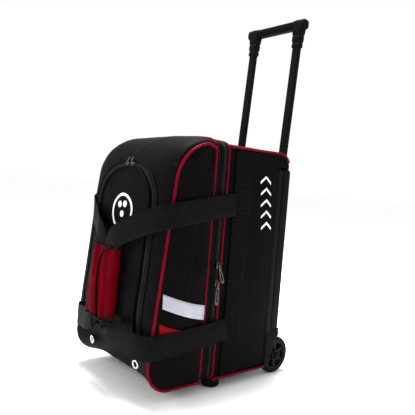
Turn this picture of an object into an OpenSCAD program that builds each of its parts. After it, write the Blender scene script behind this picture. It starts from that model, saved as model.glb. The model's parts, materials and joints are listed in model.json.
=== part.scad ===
// Two-ball roller bag: rear shell with tray, wheels and pull handle, front lid with shoe pocket.
// X runs across the bag, the front faces -Y and the wheels are at +Y. The floor is z = 0.

/* [Main compartment] */
// Width across the side panels
bag_w = 300; // [292:1:308]
// Height of the underside above the floor
base_z = 26; // [24:1:28]
// Height of the sides, underside to top
side_h = 504; // [500:1:516]
// Depth of the rear shell, from the main zip to the back panel
shell_depth = 174; // [172:1:178]
// Thickness of the padded panels
panel_t = 6; // [5:0.5:6]
// Position of the main zip along Y
seam_y = -56; // [-58:1:-54]

/* [Lid] */
// Depth of the lid at its foot
toe_depth = 161; // [155:1:165]
// Depth of the lid under its top curve
brow_depth = 125; // [120:1:128]
// Radius of the lower front curve
low_r = 55; // [50:1:58]
// Radius of the upper front curve
top_r = 90; // [85:1:94]
// Thickness of the lid's front panel
front_t = 4; // [3:0.5:4]
// Width of the shoe pocket flap
flap_w = 236; // [220:1:240]
// Height of the flap's lower edge
flap_z = 118; // [112:1:122]

/* [Wheels] */
// Radius over the tyre
wheel_r = 44; // [42:0.5:45]
// Width of the tyre
tyre_w = 22; // [18:1:24]
// Radius of the axle
axle_r = 4; // [3.5:0.5:5]

/* [Pull handle] */
// Distance between the centres of the two tubes
tube_spacing = 154; // [140:1:160]
// Width of an inner tube
tube_w = 21; // [19:0.5:22]
// Thickness of an inner tube
tube_d = 13; // [11:0.5:14]
// Backward tilt of the tubes
tube_tilt = 4; // [3:0.5:5]
// Length of the grip from end to end
grip_w = 212; // [205:1:220]
// Travel of the handle
handle_travel = 290; // [250:5:290]

/* [Carry handles] */
// Width of the webbing
web_w = 50; // [45:1:50]
// Thickness of the webbing
web_t = 2; // [1.5:0.5:2.5]

/* [Hidden] */
$fn = 64;
half_w = bag_w / 2;
inner_w = bag_w - 2 * panel_t;
top_z = base_z + side_h;
// zip tape strips either side of the seam
tape_gap = 0.3;
tape_t = 3;
lid_tape_w = 26;
shell_tape_w = 10;
shell_front_y = seam_y + shell_tape_w;
shell_rear_y = seam_y + shell_depth;
back_inner_y = shell_rear_y - panel_t;
// lid outline, measured forward from the seam
low_u = toe_depth - low_r;
low_z = base_z + low_r;
brow_u = brow_depth - top_r;
brow_z = top_z - top_r;
corner_gap = norm([brow_u - low_u, brow_z - low_z]);
front_lean = asin((low_r - top_r) / corner_gap) - atan2(brow_u - low_u, brow_z - low_z);
// balls
ball_d = 216;
ball_slot = ball_d + 2;
pad_t = 10;
lower_ball_z = base_z + panel_t + pad_t;
divider_t = 20;
upper_ball_z = lower_ball_z + ball_slot + divider_t;
lid_divider_y = back_inner_y - ball_slot - 1;
lid_divider_t = 5;
// shoe pocket flap
flap_gap = 1.5;
flap_top_z = 470;
flap_corner_r = 80;
grommet_x = 90;
grommet_z = 76;
grommet_y = seam_y - toe_depth;
grommet_hole_r = 7.6;
// edge piping and side trim
piping_w = 5;
piping_t = 3.5;
trim_t = 0.8;
side_web_y = seam_y + 58;
// back tray
tray_depth = 45;
tray_w = 296;
tray_top_z = 497;
tray_low_z = 52;
tray_t = 3;
tray_rear_y = shell_rear_y + tray_depth;
trough_w = 206;
trough_low_y = tray_rear_y + 27;
trough_high_y = tray_rear_y + 56;
trough_low_z = 54;
trough_high_z = 493;
// screw places on the tray's flange, in (x, z)
screw_spots = [for (side = [-1, 1], z = [150, 270, 390]) [side * 128, z]];
screw_post_r = 6;
screw_r = 2;
screw_head_r = 4.5;
// front feet
foot_x = 122;
foot_y = shell_front_y + 22;
foot_r = 20;
// wheels
wheel_x = 135;
wheel_y = seam_y + 218.7;
hub_w = 26;
rim_r = 34;
hub_boss_r = 13;
bush_r = 8;
spoke_count = 6;
fit_gap = 0.02;
run_gap = 0.05;
housing_x = 110;
housing_wall = 6;
fender_x = 151.5;
fender_t = 3;
housing_top_z = 100;
arch_r = wheel_r + 4;
axle_end_x = 151;
spacer_r = 7;
// pull handle, measured along the tilted tubes from their foot
tube_foot_y = seam_y + 230;
tube_foot_z = 60;
tube_wall = 1.5;
tube_corner_r = 3;
sleeve_len = 440;
sleeve_wall = 1.5;
slide_gap = 0.15;
loose_gap = 0.6;
collar_h = 14;
inner_tube_low = handle_travel + 82;
grip_mid = 810;
grip_r = 12;
grip_end_x = (tube_spacing - tube_w) / 2 - 6;
corner_drop = 48;
plug_h = 14;
// carry handles
strap_x = half_w + 9;
strap_front_y = seam_y - 176;
wrap_w = 108;
wrap_h = 150;
wrap_d = 18;
wrap_z = 226;
front_x = wrap_w / 4;
// stations along one carry strap, from its upper anchor to its lower one, as [point, upright]
strap_route = [
    [[half_w + 3.2, side_web_y + 25, 408], true],
    [[half_w + 3.2, side_web_y - 20, 408], true],
    [[strap_x, shell_front_y - 4, 404], true],
    [[strap_x + 1, seam_y - 126, 381], true],
    [[strap_x - 6, seam_y - 142, 376], true],
    [[132, seam_y - 154, 368], true],
    [[100, seam_y - 164, 356], true],
    [[62, strap_front_y, 334], true],
    [[front_x, strap_front_y, 300], false],
    [[front_x, strap_front_y, 156], false],
    [[62, strap_front_y, 130], true],
    [[122, seam_y - 174, 124], true],
    [[strap_x - 2, seam_y - 164, 121], true],
    [[strap_x + 1, seam_y - 139, 123], true],
    [[strap_x, shell_front_y - 4, 132], true],
    [[half_w + 3.2, side_web_y - 20, 134], true],
    [[half_w + 3.2, side_web_y + 25, 134], true]
];
// zip sliders
slider_x = half_w - 0.5;
upper_slider_z = 276;
lower_slider_z = 238;
pin_r = 1.2;
pin_x = 7.5;
eye_r = 3.2;
eye_hole_r = 2.1;

// ---- shared shapes ----

// A (y, z) outline extruded along X about x = 0
module along_x(w) {
    rotate([90, 0, 90])
        linear_extrude(w, center = true) children();
}

// A block given by its two opposite corners
module block(low, high) {
    translate(low) cube(high - low);
}

// Points of a round front corner, angles measured up from straight forward
function front_arc(u, z, r, from, to, n = 8) = [
    for (i = [0 : n])
        let (a = from + (to - from) * i / n)
        [seam_y - u - r * cos(a), z + r * sin(a)]
];

// Side outline of the lid, set in by an amount, starting some way forward of the seam
function lid_outline(inset, start) = concat(
    [[seam_y - start, base_z + inset]],
    front_arc(low_u, low_z, low_r - inset, -90, front_lean),
    front_arc(brow_u, brow_z, top_r - inset, front_lean, 90),
    [[seam_y - start, top_z - inset]]
);

// Distance of the lid's front face forward of the seam, at a height on its straight part
function front_u(z) = low_u + low_r / cos(front_lean) - (z - low_z) * tan(front_lean);

// The pocket's arched outline in (x, z), set in by a gap
module arch(gap) {
    w = flap_w - 2 * gap;
    r = flap_corner_r - gap;
    low = flap_z + gap;
    high = flap_top_z - gap;
    translate([-w / 2, low]) square([w, high - r - low]);
    translate([-w / 2 + r, low]) square([w - 2 * r, high - low]);
    for (side = [-1, 1])
        translate([side * (w / 2 - r), high - r]) circle(r);
}

// The arch as a prism through the lid's front panel
module arch_prism(gap) {
    translate([0, lid_divider_y - 12, 0])
        rotate([90, 0, 0])
        linear_extrude(toe_depth) arch(gap);
}

// The curved skin of the lid's front, top and underside
module lid_skin() {
    along_x(inner_w)
        difference() {
            polygon(lid_outline(0, lid_tape_w));
            polygon(lid_outline(front_t, lid_tape_w - 1));
        }
}

// A rectangular frame around the seam, in a slab from y_low to y_high
module seam_ring(y_low, y_high) {
    outer = half_w - 1;
    translate([0, y_high, 0])
        rotate([90, 0, 0])
        linear_extrude(y_high - y_low)
        difference() {
            translate([-outer, base_z + 1]) square([2 * outer, side_h - 2]);
            translate([-outer + tape_t, base_z + 1 + tape_t])
                square([2 * (outer - tape_t), side_h - 2 - 2 * tape_t]);
        }
}

// Moves children out to the right (1) side of the bag, or mirrored to the left (-1) side
module on_side(side, x) {
    mirror([side > 0 ? 0 : 1, 0, 0]) translate([x, 0, 0]) children();
}

// Places children in the tubes' frame: z runs up the tilted tubes from their foot
module tilted() {
    translate([0, tube_foot_y, tube_foot_z]) rotate([-tube_tilt, 0, 0]) children();
}

// Rounded rectangle of a tube's section, grown by an amount
module tube_shape(grow) {
    r = tube_corner_r + grow;
    flat_w = tube_w - 2 * tube_corner_r;
    flat_d = tube_d - 2 * tube_corner_r;
    square([flat_w, flat_d + 2 * r], center = true);
    square([flat_w + 2 * r, flat_d], center = true);
    for (x = [-1, 1], y = [-1, 1])
        translate([x * flat_w / 2, y * flat_d / 2]) circle(r);
}

// A hollow tube between two growths of the section
module hollow_tube(outer, inner, length) {
    linear_extrude(length)
        difference() {
            tube_shape(outer);
            tube_shape(inner);
        }
}

// ---- rear shell ----

module base_panel() {
    color("#1c1c1e")
        block([-inner_w / 2, shell_front_y, base_z], [inner_w / 2, shell_rear_y, base_z + panel_t]);
}

module top_panel() {
    color("#222224")
        block([-inner_w / 2, shell_front_y, top_z - panel_t], [inner_w / 2, shell_rear_y, top_z]);
}

module back_panel() {
    color("#1c1c1e")
        block([-inner_w / 2, back_inner_y, base_z + panel_t],
              [inner_w / 2, shell_rear_y, top_z - panel_t]);
}

module shell_side(side) {
    color("#222224")
        on_side(side, half_w - panel_t / 2)
        block([-panel_t / 2, shell_front_y, base_z], [panel_t / 2, shell_rear_y, top_z]);
}

module shell_zip_tape() {
    color("#161616")
        seam_ring(seam_y + tape_gap, shell_front_y);
}

module lower_ball_pad() {
    color("#303034")
        block([-inner_w / 2 + 1, shell_front_y + 1, base_z + panel_t],
              [inner_w / 2 - 1, back_inner_y - 1, lower_ball_z]);
}

module ball_divider() {
    color("#303034")
        block([-inner_w / 2 + 1, shell_front_y + 1, upper_ball_z - divider_t],
              [inner_w / 2 - 1, back_inner_y - 1, upper_ball_z]);
}

// Foam blocks that keep each ball in the middle
module ball_bolsters() {
    bolster_h = ball_slot - 4;
    color("#38383c")
        for (side = [-1, 1], low = [lower_ball_z + 1, upper_ball_z + 1])
            on_side(side, (ball_slot + inner_w) / 4)
                block([-(inner_w - ball_slot) / 4 + 0.5, shell_front_y + 8, low],
                      [(inner_w - ball_slot) / 4 - 0.5, back_inner_y - 8, low + bolster_h]);
}

module side_webbing(side) {
    color("#141414")
        on_side(side, half_w + web_t / 2)
        block([-web_t / 2, side_web_y - web_w / 2, base_z + piping_w],
              [web_t / 2, side_web_y + web_w / 2, top_z - piping_w]);
}

// Edge cord along the front, top and underside of a shell side
module shell_piping(side) {
    color("#9c1030")
        on_side(side, half_w + piping_t / 2)
        along_x(piping_t)
        difference() {
            translate([shell_front_y, base_z]) square([shell_rear_y - shell_front_y, side_h]);
            translate([shell_front_y + piping_w, base_z + piping_w])
                square([shell_rear_y - shell_front_y, side_h - 2 * piping_w]);
        }
}

// ---- back tray, sleeves and collars ----

// Tray and trough side outlines, set in by the wall
module tray_outline(t) {
    bend = 24;
    polygon([
        [shell_rear_y, tray_low_z + t],
        [tray_rear_y - t, tray_low_z + t],
        [tray_rear_y - t, tray_top_z - bend],
        [tray_rear_y - t - bend / 2, tray_top_z - t],
        [shell_rear_y, tray_top_z - t]
    ]);
}

module trough_outline(t) {
    polygon([
        [tray_rear_y - 2 * tray_t, trough_low_z + t],
        [trough_low_y - t, trough_low_z + t],
        [trough_high_y - t, trough_high_z - t],
        [tray_rear_y - 2 * tray_t, trough_high_z - t]
    ]);
}

module back_tray() {
    color("#18181a")
        difference() {
            union() {
                difference() {
                    union() {
                        along_x(tray_w) tray_outline(0);
                        along_x(trough_w) trough_outline(0);
                    }
                    along_x(tray_w - 2 * tray_t) tray_outline(tray_t);
                    along_x(trough_w - 2 * tray_t) trough_outline(tray_t);
                    translate([0, shell_rear_y, 0])
                        block([-tray_w / 2 + tray_t, -1, tray_low_z + tray_t],
                              [tray_w / 2 - tray_t, 1, tray_top_z - 2 * tray_t]);
                }
                for (spot = screw_spots)
                    translate([spot.x, tray_rear_y - 1, spot.y])
                        rotate([90, 0, 0]) cylinder(h = tray_depth - 1.5, r = screw_post_r);
            }
            for (side = [-1, 1])
                on_side(side, tray_w / 2)
                    block([housing_x - 0.2 - tray_w / 2, shell_rear_y - 1, 0],
                          [tray_w, trough_high_y, housing_top_z + 0.2]);
            for (spot = screw_spots)
                translate([spot.x, tray_rear_y + 1, spot.y])
                    rotate([90, 0, 0]) cylinder(h = tray_depth + 2, r = screw_r + fit_gap);
            tilted()
                for (side = [-1, 1])
                    translate([side * tube_spacing / 2, 0, 300])
                        linear_extrude(200) tube_shape(sleeve_wall + loose_gap + 0.4);
        }
}

module tray_screws() {
    color("#50525a")
        for (spot = screw_spots)
            translate([spot.x, tray_rear_y, spot.y])
                rotate([90, 0, 0])
                union() {
                    cylinder(h = tray_depth - 2, r = screw_r);
                    translate([0, 0, -2]) cylinder(h = 2, r = screw_head_r);
                }
}

module tube_sleeve(side) {
    color("#6a6c72")
        tilted()
        translate([side * tube_spacing / 2, 0, 0])
        hollow_tube(sleeve_wall + loose_gap, loose_gap, sleeve_len);
}

// Bushes that close the sleeves' tops and guide the tubes
module tube_collars() {
    color("#141416")
        tilted()
        for (side = [-1, 1])
            translate([side * tube_spacing / 2, 0, sleeve_len])
                hollow_tube(sleeve_wall + loose_gap + 2, slide_gap, collar_h);
}

// Block that ties the two sleeves together near their foot
module sleeve_bracket() {
    bracket_h = 22;
    bracket_z = 14;
    color("#2a2a2e")
        tilted()
        difference() {
            translate([-(trough_w / 2 - 5), -13, bracket_z])
                cube([trough_w - 10, 26, bracket_h]);
            for (side = [-1, 1])
                translate([side * tube_spacing / 2, 0, bracket_z - 1])
                    linear_extrude(bracket_h + 2) tube_shape(sleeve_wall + loose_gap + fit_gap);
        }
}

// ---- wheels and feet ----

// Turns children so that their z runs outward along the axle on the given side
module on_axle(side, x) {
    translate([side * x, wheel_y, wheel_r])
        rotate([0, side * 90, 0]) children();
}

// Inner wall with the axle boss, an arch over the wheel and a fender in front of it
module wheel_housing(side) {
    width = fender_x - housing_x;
    color("#17171a")
        difference() {
            union() {
                on_side(side, housing_x)
                    block([0, shell_rear_y + 0.2, base_z], [width, wheel_y, housing_top_z]);
                on_axle(side, housing_x)
                    cylinder(h = housing_wall, r = hub_boss_r);
            }
            on_axle(side, housing_x + housing_wall)
                cylinder(h = width - housing_wall - fender_t, r = arch_r);
            on_side(side, housing_x + housing_wall)
                block([0, shell_rear_y, base_z - 1],
                      [width - housing_wall - fender_t, wheel_y, wheel_r + 26]);
            on_side(side, fender_x - fender_t / 2)
                along_x(fender_t + 0.2)
                polygon([
                    [shell_rear_y + 6, base_z - 1],
                    [wheel_y - 30, base_z + 10],
                    [wheel_y - 8, wheel_r + arch_r],
                    [wheel_y + 1, wheel_r + arch_r],
                    [wheel_y + 1, base_z - 1]
                ]);
            on_axle(side, housing_x - 1)
                cylinder(h = housing_wall + 2, r = axle_r + fit_gap);
        }
}

module wheel_axle() {
    color("#8a8c90")
        translate([-axle_end_x, wheel_y, wheel_r])
        rotate([0, 90, 0]) cylinder(h = 2 * axle_end_x, r = axle_r);
}

module axle_spacers() {
    inner_x = housing_x + housing_wall;
    color("#707278")
        for (side = [-1, 1])
            on_axle(side, inner_x)
                difference() {
                    cylinder(h = wheel_x - hub_w / 2 - inner_x - 0.5, r = spacer_r);
                    translate([0, 0, -1]) cylinder(h = 20, r = axle_r + fit_gap);
                }
}

module axle_caps() {
    cap_r = 9;
    cap_x = wheel_x + hub_w / 2 + 0.5;
    color("#26262a")
        for (side = [-1, 1])
            on_axle(side, cap_x)
                difference() {
                    union() {
                        cylinder(h = 2, r = cap_r);
                        translate([0, 0, 2]) cylinder(h = 3, r1 = cap_r, r2 = cap_r - 3);
                    }
                    translate([0, 0, -1]) cylinder(h = axle_end_x - cap_x + 1, r = axle_r + fit_gap);
                }
}

module wheel_tyre(side) {
    crown = 5;
    color("#101010")
        on_axle(side, wheel_x)
        rotate_extrude($fn = 96)
        polygon([
            [rim_r + fit_gap, -tyre_w / 2],
            [wheel_r - crown, -tyre_w / 2],
            [wheel_r - 1, -tyre_w / 4],
            [wheel_r, 0],
            [wheel_r - 1, tyre_w / 4],
            [wheel_r - crown, tyre_w / 2],
            [rim_r + fit_gap, tyre_w / 2]
        ]);
}

module wheel_hub(side) {
    rim_t = 4;
    color("#2c2c30")
        on_axle(side, wheel_x - hub_w / 2)
        difference() {
            union() {
                translate([0, 0, 2])
                    difference() {
                        cylinder(h = hub_w - 4, r = rim_r);
                        translate([0, 0, -1]) cylinder(h = hub_w, r = rim_r - rim_t);
                    }
                cylinder(h = hub_w, r = hub_boss_r);
                for (i = [0 : spoke_count - 1])
                    rotate([0, 0, i * 360 / spoke_count])
                        translate([bush_r + 2, -3.5, 5])
                            cube([rim_r - rim_t / 2 - bush_r - 2, 7, hub_w - 10]);
            }
            translate([0, 0, -1]) cylinder(h = hub_w + 2, r = bush_r + fit_gap);
        }
}

module wheel_bush(side) {
    color("#b8b8b0")
        on_axle(side, wheel_x - hub_w / 2)
        difference() {
            cylinder(h = hub_w, r = bush_r);
            translate([0, 0, -1]) cylinder(h = hub_w + 2, r = axle_r + run_gap);
        }
}

module front_feet() {
    color("#141416")
        for (side = [-1, 1])
            translate([side * foot_x, foot_y, 0])
                difference() {
                    union() {
                        cylinder(h = 4, r1 = foot_r - 4, r2 = foot_r);
                        translate([0, 0, 4]) cylinder(h = base_z - 4, r = foot_r);
                    }
                    translate([0, 0, 8]) cylinder(h = base_z, r = screw_r + fit_gap);
                    translate([0, 0, -1]) cylinder(h = 9.5, r = screw_head_r + 0.5);
                }
}

module foot_screws() {
    color("#50525a")
        for (side = [-1, 1])
            translate([side * foot_x, foot_y, 0]) {
                translate([0, 0, 5.5]) cylinder(h = 3, r = screw_head_r);
                translate([0, 0, 8]) cylinder(h = base_z - 8, r = screw_r);
            }
}

// ---- lid ----

module lid_front() {
    color("#1f1f22")
        difference() {
            lid_skin();
            arch_prism(0);
            for (side = [-1, 1])
                translate([side * grommet_x, grommet_y - 10, grommet_z])
                    rotate([-90, 0, 0]) cylinder(h = 40, r = grommet_hole_r);
        }
}

module lid_side(side) {
    color("#232326")
        on_side(side, half_w - panel_t / 2)
        along_x(panel_t)
        polygon(lid_outline(0, lid_tape_w));
}

// Padded wall between the balls and the shoe pocket
module lid_divider() {
    color("#303034")
        block([-inner_w / 2 + 0.2, lid_divider_y - lid_divider_t, base_z + front_t],
              [inner_w / 2 - 0.2, lid_divider_y, top_z - 14]);
}

module lid_zip_tape() {
    color("#161616")
        seam_ring(seam_y - lid_tape_w, seam_y - tape_gap);
}

module lid_piping(side) {
    color("#a01234")
        on_side(side, half_w + piping_t / 2)
        along_x(piping_t)
        difference() {
            polygon(lid_outline(0, lid_tape_w));
            polygon(lid_outline(piping_w, lid_tape_w + piping_w));
        }
}

module vent_grommets() {
    flange_r = 10;
    color("#b0b2b8")
        for (side = [-1, 1])
            translate([side * grommet_x, grommet_y, grommet_z])
                rotate([-90, 0, 0])
                difference() {
                    union() {
                        translate([0, 0, -2.5]) cylinder(h = 1.5, r = flange_r);
                        translate([0, 0, -2.5]) cylinder(h = 9, r = grommet_hole_r - 0.1);
                    }
                    translate([0, 0, -4]) cylinder(h = 14, r = 5.5);
                }
}

// A slanted four-sided patch on both lid sides, from two ends given as [u, low z, high z]
module side_patch(front, rear) {
    for (side = [-1, 1])
        on_side(side, half_w + trim_t / 2)
            along_x(trim_t)
            polygon([
                [seam_y - front[0], front[1]],
                [seam_y - front[0], front[2]],
                [seam_y - rear[0], rear[2]],
                [seam_y - rear[0], rear[1]]
            ]);
}

module reflective_bands() {
    color("#d8d8e4") side_patch([138, 197, 225], [32, 163, 194]);
}

module red_patches() {
    color("#961414") side_patch([142, 128, 167], [70, 112, 146]);
}

// ---- shoe pocket flap ----

module shoe_flap() {
    color("#242428")
        intersection() {
            lid_skin();
            arch_prism(flap_gap);
        }
}

// Ring badge with three finger holes, sewn to the flap
module flap_emblem() {
    badge_r = 42;
    badge_z = 365;
    color("#f0f0f0")
        translate([0, seam_y - front_u(badge_z), badge_z])
        rotate([90 - front_lean, 0, 0])
        translate([0, 0, 0.3])
        linear_extrude(1.2) {
            difference() {
                circle(badge_r);
                circle(badge_r - 7);
            }
            for (spot = [[-10, 14], [8, 16], [2, -6]])
                translate(spot) circle(6);
        }
}

// Slider with its tab, just above the flap's top edge
module pocket_slider(side) {
    slider_z = flap_top_z + 7;
    slider_u = brow_u + sqrt(pow(top_r, 2) - pow(slider_z - brow_z, 2));
    color("#7c7e84")
        translate([side * 12, seam_y - slider_u - 5, slider_z])
        union() {
            block([-6, -1.5, -3.5], [6, 2, 3.5]);
            block([-2.5, -4, -3], [2.5, -1.5, 3]);
            block([side * 12 - 14, -5.5, -2], [side * 12 + 14, -4, 2]);
        }
}

// ---- pull handle ----

module inner_tube(side) {
    color("#3a3a3e")
        tilted()
        translate([side * tube_spacing / 2, 0, inner_tube_low])
        hollow_tube(0, -tube_wall, grip_mid - grip_r - 2 - inner_tube_low);
}

// Guides that fill the sleeves below each tube
module tube_plugs() {
    color("#dcdcd4")
        tilted()
        for (side = [-1, 1])
            translate([side * tube_spacing / 2, 0, inner_tube_low - plug_h])
                linear_extrude(plug_h) tube_shape(loose_gap - slide_gap);
}

module handle_grip() {
    color("#2c2c30")
        tilted()
        translate([-grip_end_x, 0, grip_mid])
        rotate([0, 90, 0]) cylinder(h = 2 * grip_end_x, r = grip_r);
}

// Moulded elbow between the grip and a tube, with a collar round the tube
module grip_corner(side) {
    outer_x = grip_w / 2;
    color("#26262a")
        tilted()
        difference() {
            union() {
                translate([side > 0 ? grip_end_x : -outer_x, 0, grip_mid])
                    rotate([0, 90, 0]) cylinder(h = outer_x - grip_end_x, r = grip_r + 1.5);
                translate([side * tube_spacing / 2, 0, grip_mid - corner_drop])
                    linear_extrude(corner_drop) tube_shape(5);
                translate([side * tube_spacing / 2, 0, grip_mid - corner_drop - 6])
                    linear_extrude(12) tube_shape(3);
            }
            translate([side * tube_spacing / 2, 0, grip_mid - corner_drop - 10])
                linear_extrude(corner_drop + 8 - grip_r) tube_shape(fit_gap);
        }
}

// ---- carry handles ----

// A thin bar across the webbing at a point, lying up or across
module webbing_bar(point, upright) {
    size = upright ? [web_t, web_t, web_w - 2] : [web_w - 2, web_t, web_t];
    translate(point) cube(size, center = true);
}

module carry_strap(side) {
    color("#141416")
        mirror([side > 0 ? 0 : 1, 0, 0])
        for (i = [1 : len(strap_route) - 1])
            hull() {
                webbing_bar(strap_route[i - 1][0], strap_route[i - 1][1]);
                webbing_bar(strap_route[i][0], strap_route[i][1]);
            }
}

// Padded sleeve that closes round both straps
module handle_wrap() {
    color("#8c0c14")
        translate([0, strap_front_y, wrap_z])
        difference() {
            cube([wrap_w, wrap_d, wrap_h - 12], center = true);
            cube([wrap_w - 6, web_t + 2, wrap_h], center = true);
        }
}

// ---- main zip sliders ----

module zip_slider(z) {
    cheek = 1.2;
    color("#8a8c92")
        translate([slider_x, seam_y, z]) {
            block([0, -5, -8], [4, 5, 8]);
            for (side = [-1, 1])
                translate([0, side * (5 - cheek / 2), 0])
                    block([3.5, -cheek / 2, -2], [pin_x + 1.2, cheek / 2, 2]);
            translate([pin_x, 5, 0]) rotate([90, 0, 0]) cylinder(h = 10, r = pin_r);
        }
}

// Pull tab hanging from the slider's pin, leaning backward by an angle
module zip_pull(z, length, lean) {
    color("#a0a2a8")
        translate([slider_x + pin_x, seam_y, z])
        rotate([lean, 0, 0])
        difference() {
            union() {
                translate([0, 2, 0]) rotate([90, 0, 0]) cylinder(h = 4, r = eye_r);
                along_x(1.6)
                    polygon([[-2.5, 0], [-2.5, -6], [-4.2, -14], [-3, -length + 1], [-2, -length],
                             [2, -length], [3, -length + 1], [4.2, -14], [2.5, -6], [2.5, 0]]);
            }
            translate([0, 6, 0]) rotate([90, 0, 0]) cylinder(h = 12, r = eye_hole_r);
        }
}

// ---- nodes ----

base_panel();
top_panel();
back_panel();
shell_side(1);  // right_shell_side
shell_side(-1);  // left_shell_side
shell_zip_tape();
lower_ball_pad();
ball_divider();
ball_bolsters();
side_webbing(1);  // right_side_webbing
side_webbing(-1);  // left_side_webbing
shell_piping(1);  // right_shell_piping
shell_piping(-1);  // left_shell_piping
back_tray();
tray_screws();
tube_sleeve(1);  // right_tube_sleeve
tube_sleeve(-1);  // left_tube_sleeve
tube_collars();
sleeve_bracket();
wheel_housing(1);  // right_wheel_housing
wheel_housing(-1);  // left_wheel_housing
wheel_axle();
axle_spacers();
axle_caps();
front_feet();
foot_screws();
lid_front();
lid_side(1);  // right_lid_side
lid_side(-1);  // left_lid_side
lid_divider();
lid_zip_tape();
lid_piping(1);  // right_lid_piping
lid_piping(-1);  // left_lid_piping
vent_grommets();
reflective_bands();
red_patches();
shoe_flap();
flap_emblem();
pocket_slider(1);  // right_pocket_slider
pocket_slider(-1);  // left_pocket_slider
inner_tube(1);  // right_inner_tube
inner_tube(-1);  // left_inner_tube
tube_plugs();
handle_grip();
grip_corner(1);  // right_grip_corner
grip_corner(-1);  // left_grip_corner
wheel_tyre(1);  // right_tyre
wheel_hub(1);  // right_hub
wheel_bush(1);  // right_bush
wheel_tyre(-1);  // left_tyre
wheel_hub(-1);  // left_hub
wheel_bush(-1);  // left_bush
carry_strap(1);  // right_carry_strap
carry_strap(-1);  // left_carry_strap
handle_wrap();
zip_slider(upper_slider_z);  // upper_zip_slider
zip_pull(upper_slider_z, 42, 20);  // upper_zip_pull
zip_slider(lower_slider_z);  // lower_zip_slider
zip_pull(lower_slider_z, 48, 0);  // lower_zip_pull
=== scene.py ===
import json
import math

import bmesh
import bpy
import numpy as np
from mathutils import Matrix, Vector, noise


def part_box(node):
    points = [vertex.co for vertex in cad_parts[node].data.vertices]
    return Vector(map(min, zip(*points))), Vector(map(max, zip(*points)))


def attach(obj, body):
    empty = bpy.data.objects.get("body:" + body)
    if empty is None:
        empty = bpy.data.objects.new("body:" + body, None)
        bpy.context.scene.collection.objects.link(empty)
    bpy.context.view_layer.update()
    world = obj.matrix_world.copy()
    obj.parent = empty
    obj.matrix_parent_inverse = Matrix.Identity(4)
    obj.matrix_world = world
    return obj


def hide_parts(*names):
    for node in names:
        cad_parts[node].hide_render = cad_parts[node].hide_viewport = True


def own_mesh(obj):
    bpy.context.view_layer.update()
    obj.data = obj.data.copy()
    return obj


MM = 0.001

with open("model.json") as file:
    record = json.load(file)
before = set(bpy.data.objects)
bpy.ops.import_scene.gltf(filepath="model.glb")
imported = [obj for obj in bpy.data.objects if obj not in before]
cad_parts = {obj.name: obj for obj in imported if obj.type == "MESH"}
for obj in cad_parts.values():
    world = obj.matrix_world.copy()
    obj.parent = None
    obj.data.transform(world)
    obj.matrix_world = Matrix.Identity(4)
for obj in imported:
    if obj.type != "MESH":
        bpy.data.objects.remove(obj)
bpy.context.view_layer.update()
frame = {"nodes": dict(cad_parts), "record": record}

# ---- sizes, in millimetres, as in part.scad ----
HALF_W = 150
BASE_Z = 26
TOP_Z = 530
SEAM_Y = -56
SHELL_FRONT = -46
SHELL_REAR = 118
LID_REAR_U = 26
LOW_U, LOW_Z, LOW_R = 106, 81, 55
BROW_U, BROW_Z, TOP_R = 35, 440, 90
FLAP_Z = 118
ZIP_HALF_W = 107
ZIP_TOP = 470
PIPING_R = 3.1
SHELL_PIPING_R = 2.6
TUBE_TILT = math.radians(4)
TUBE_X = 77
SIDES = ((1, "right"), (-1, "left"))


# ---- meshes ----

def piece(name, parts, material, body, nodes=(), weld=0.02, smooth=True):
    """One mesh object made of parts, each (points in mm, faces, uv in metres)."""
    points, faces, uvs = [], [], []
    for verts, quads, uv in parts:
        first = len(points)
        points.extend([tuple(v) for v in np.asarray(verts) * MM])
        faces.extend([[first + i for i in f] for f in quads])
        uvs.extend([tuple(w) for w in uv])
    mesh = bpy.data.meshes.new(name)
    mesh.from_pydata(points, [], faces)
    layer = mesh.uv_layers.new(name="cloth")
    for loop in mesh.loops:
        layer.data[loop.index].uv = uvs[loop.vertex_index]
    obj = bpy.data.objects.new(name, mesh)
    bpy.context.scene.collection.objects.link(obj)
    clean(mesh, weld)
    if smooth:
        mesh.polygons.foreach_set("use_smooth", [True] * len(mesh.polygons))
    mesh.materials.append(material)
    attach(obj, body)
    if nodes:
        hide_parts(*nodes)
    return obj


def clean(mesh, weld):
    """Welds doubled points, drops empty faces and turns faces to one side."""
    bm = bmesh.new()
    bm.from_mesh(mesh)
    bmesh.ops.remove_doubles(bm, verts=bm.verts, dist=weld * MM)
    bmesh.ops.dissolve_degenerate(bm, edges=bm.edges, dist=0.005 * MM)
    bmesh.ops.recalc_face_normals(bm, faces=bm.faces)
    bm.to_mesh(mesh)
    bm.free()
    mesh.update()


def lengths(points):
    """Running length along a line of points."""
    steps = np.linalg.norm(np.diff(points, axis=0), axis=1)
    return np.concatenate([[0], np.cumsum(steps)])


def grid(rows, wrap=False, uv=None):
    """A sheet of quads through rows of points. wrap joins each row's end to its start."""
    rows = np.asarray(rows, float)
    count, width = rows.shape[:2]
    quads = []
    for i in range(count - 1):
        for j in range(width if wrap else width - 1):
            k = (j + 1) % width
            quads.append([i * width + j, i * width + k, (i + 1) * width + k, (i + 1) * width + j])
    if uv is None:
        across = lengths(rows[count // 2]) * MM
        along = lengths(rows[:, width // 2]) * MM
        uv = np.stack(np.meshgrid(across, along), axis=-1)
    return rows.reshape(-1, 3), quads, np.asarray(uv).reshape(-1, 2)


def smooth_line(stations, count):
    """A Catmull-Rom curve through the stations."""
    p = np.asarray(stations, float)
    p = np.vstack([2 * p[0] - p[1], p, 2 * p[-1] - p[-2]])
    spans = len(p) - 3
    out = []
    for t in np.linspace(0, spans - 1e-6, count):
        i = int(t)
        f = t - i
        a, b, c, d = p[i:i + 4]
        out.append(0.5 * (2 * b + (c - a) * f + (2 * a - 5 * b + 4 * c - d) * f ** 2
                          + (3 * b - a - 3 * c + d) * f ** 3))
    return np.array(out)


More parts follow.
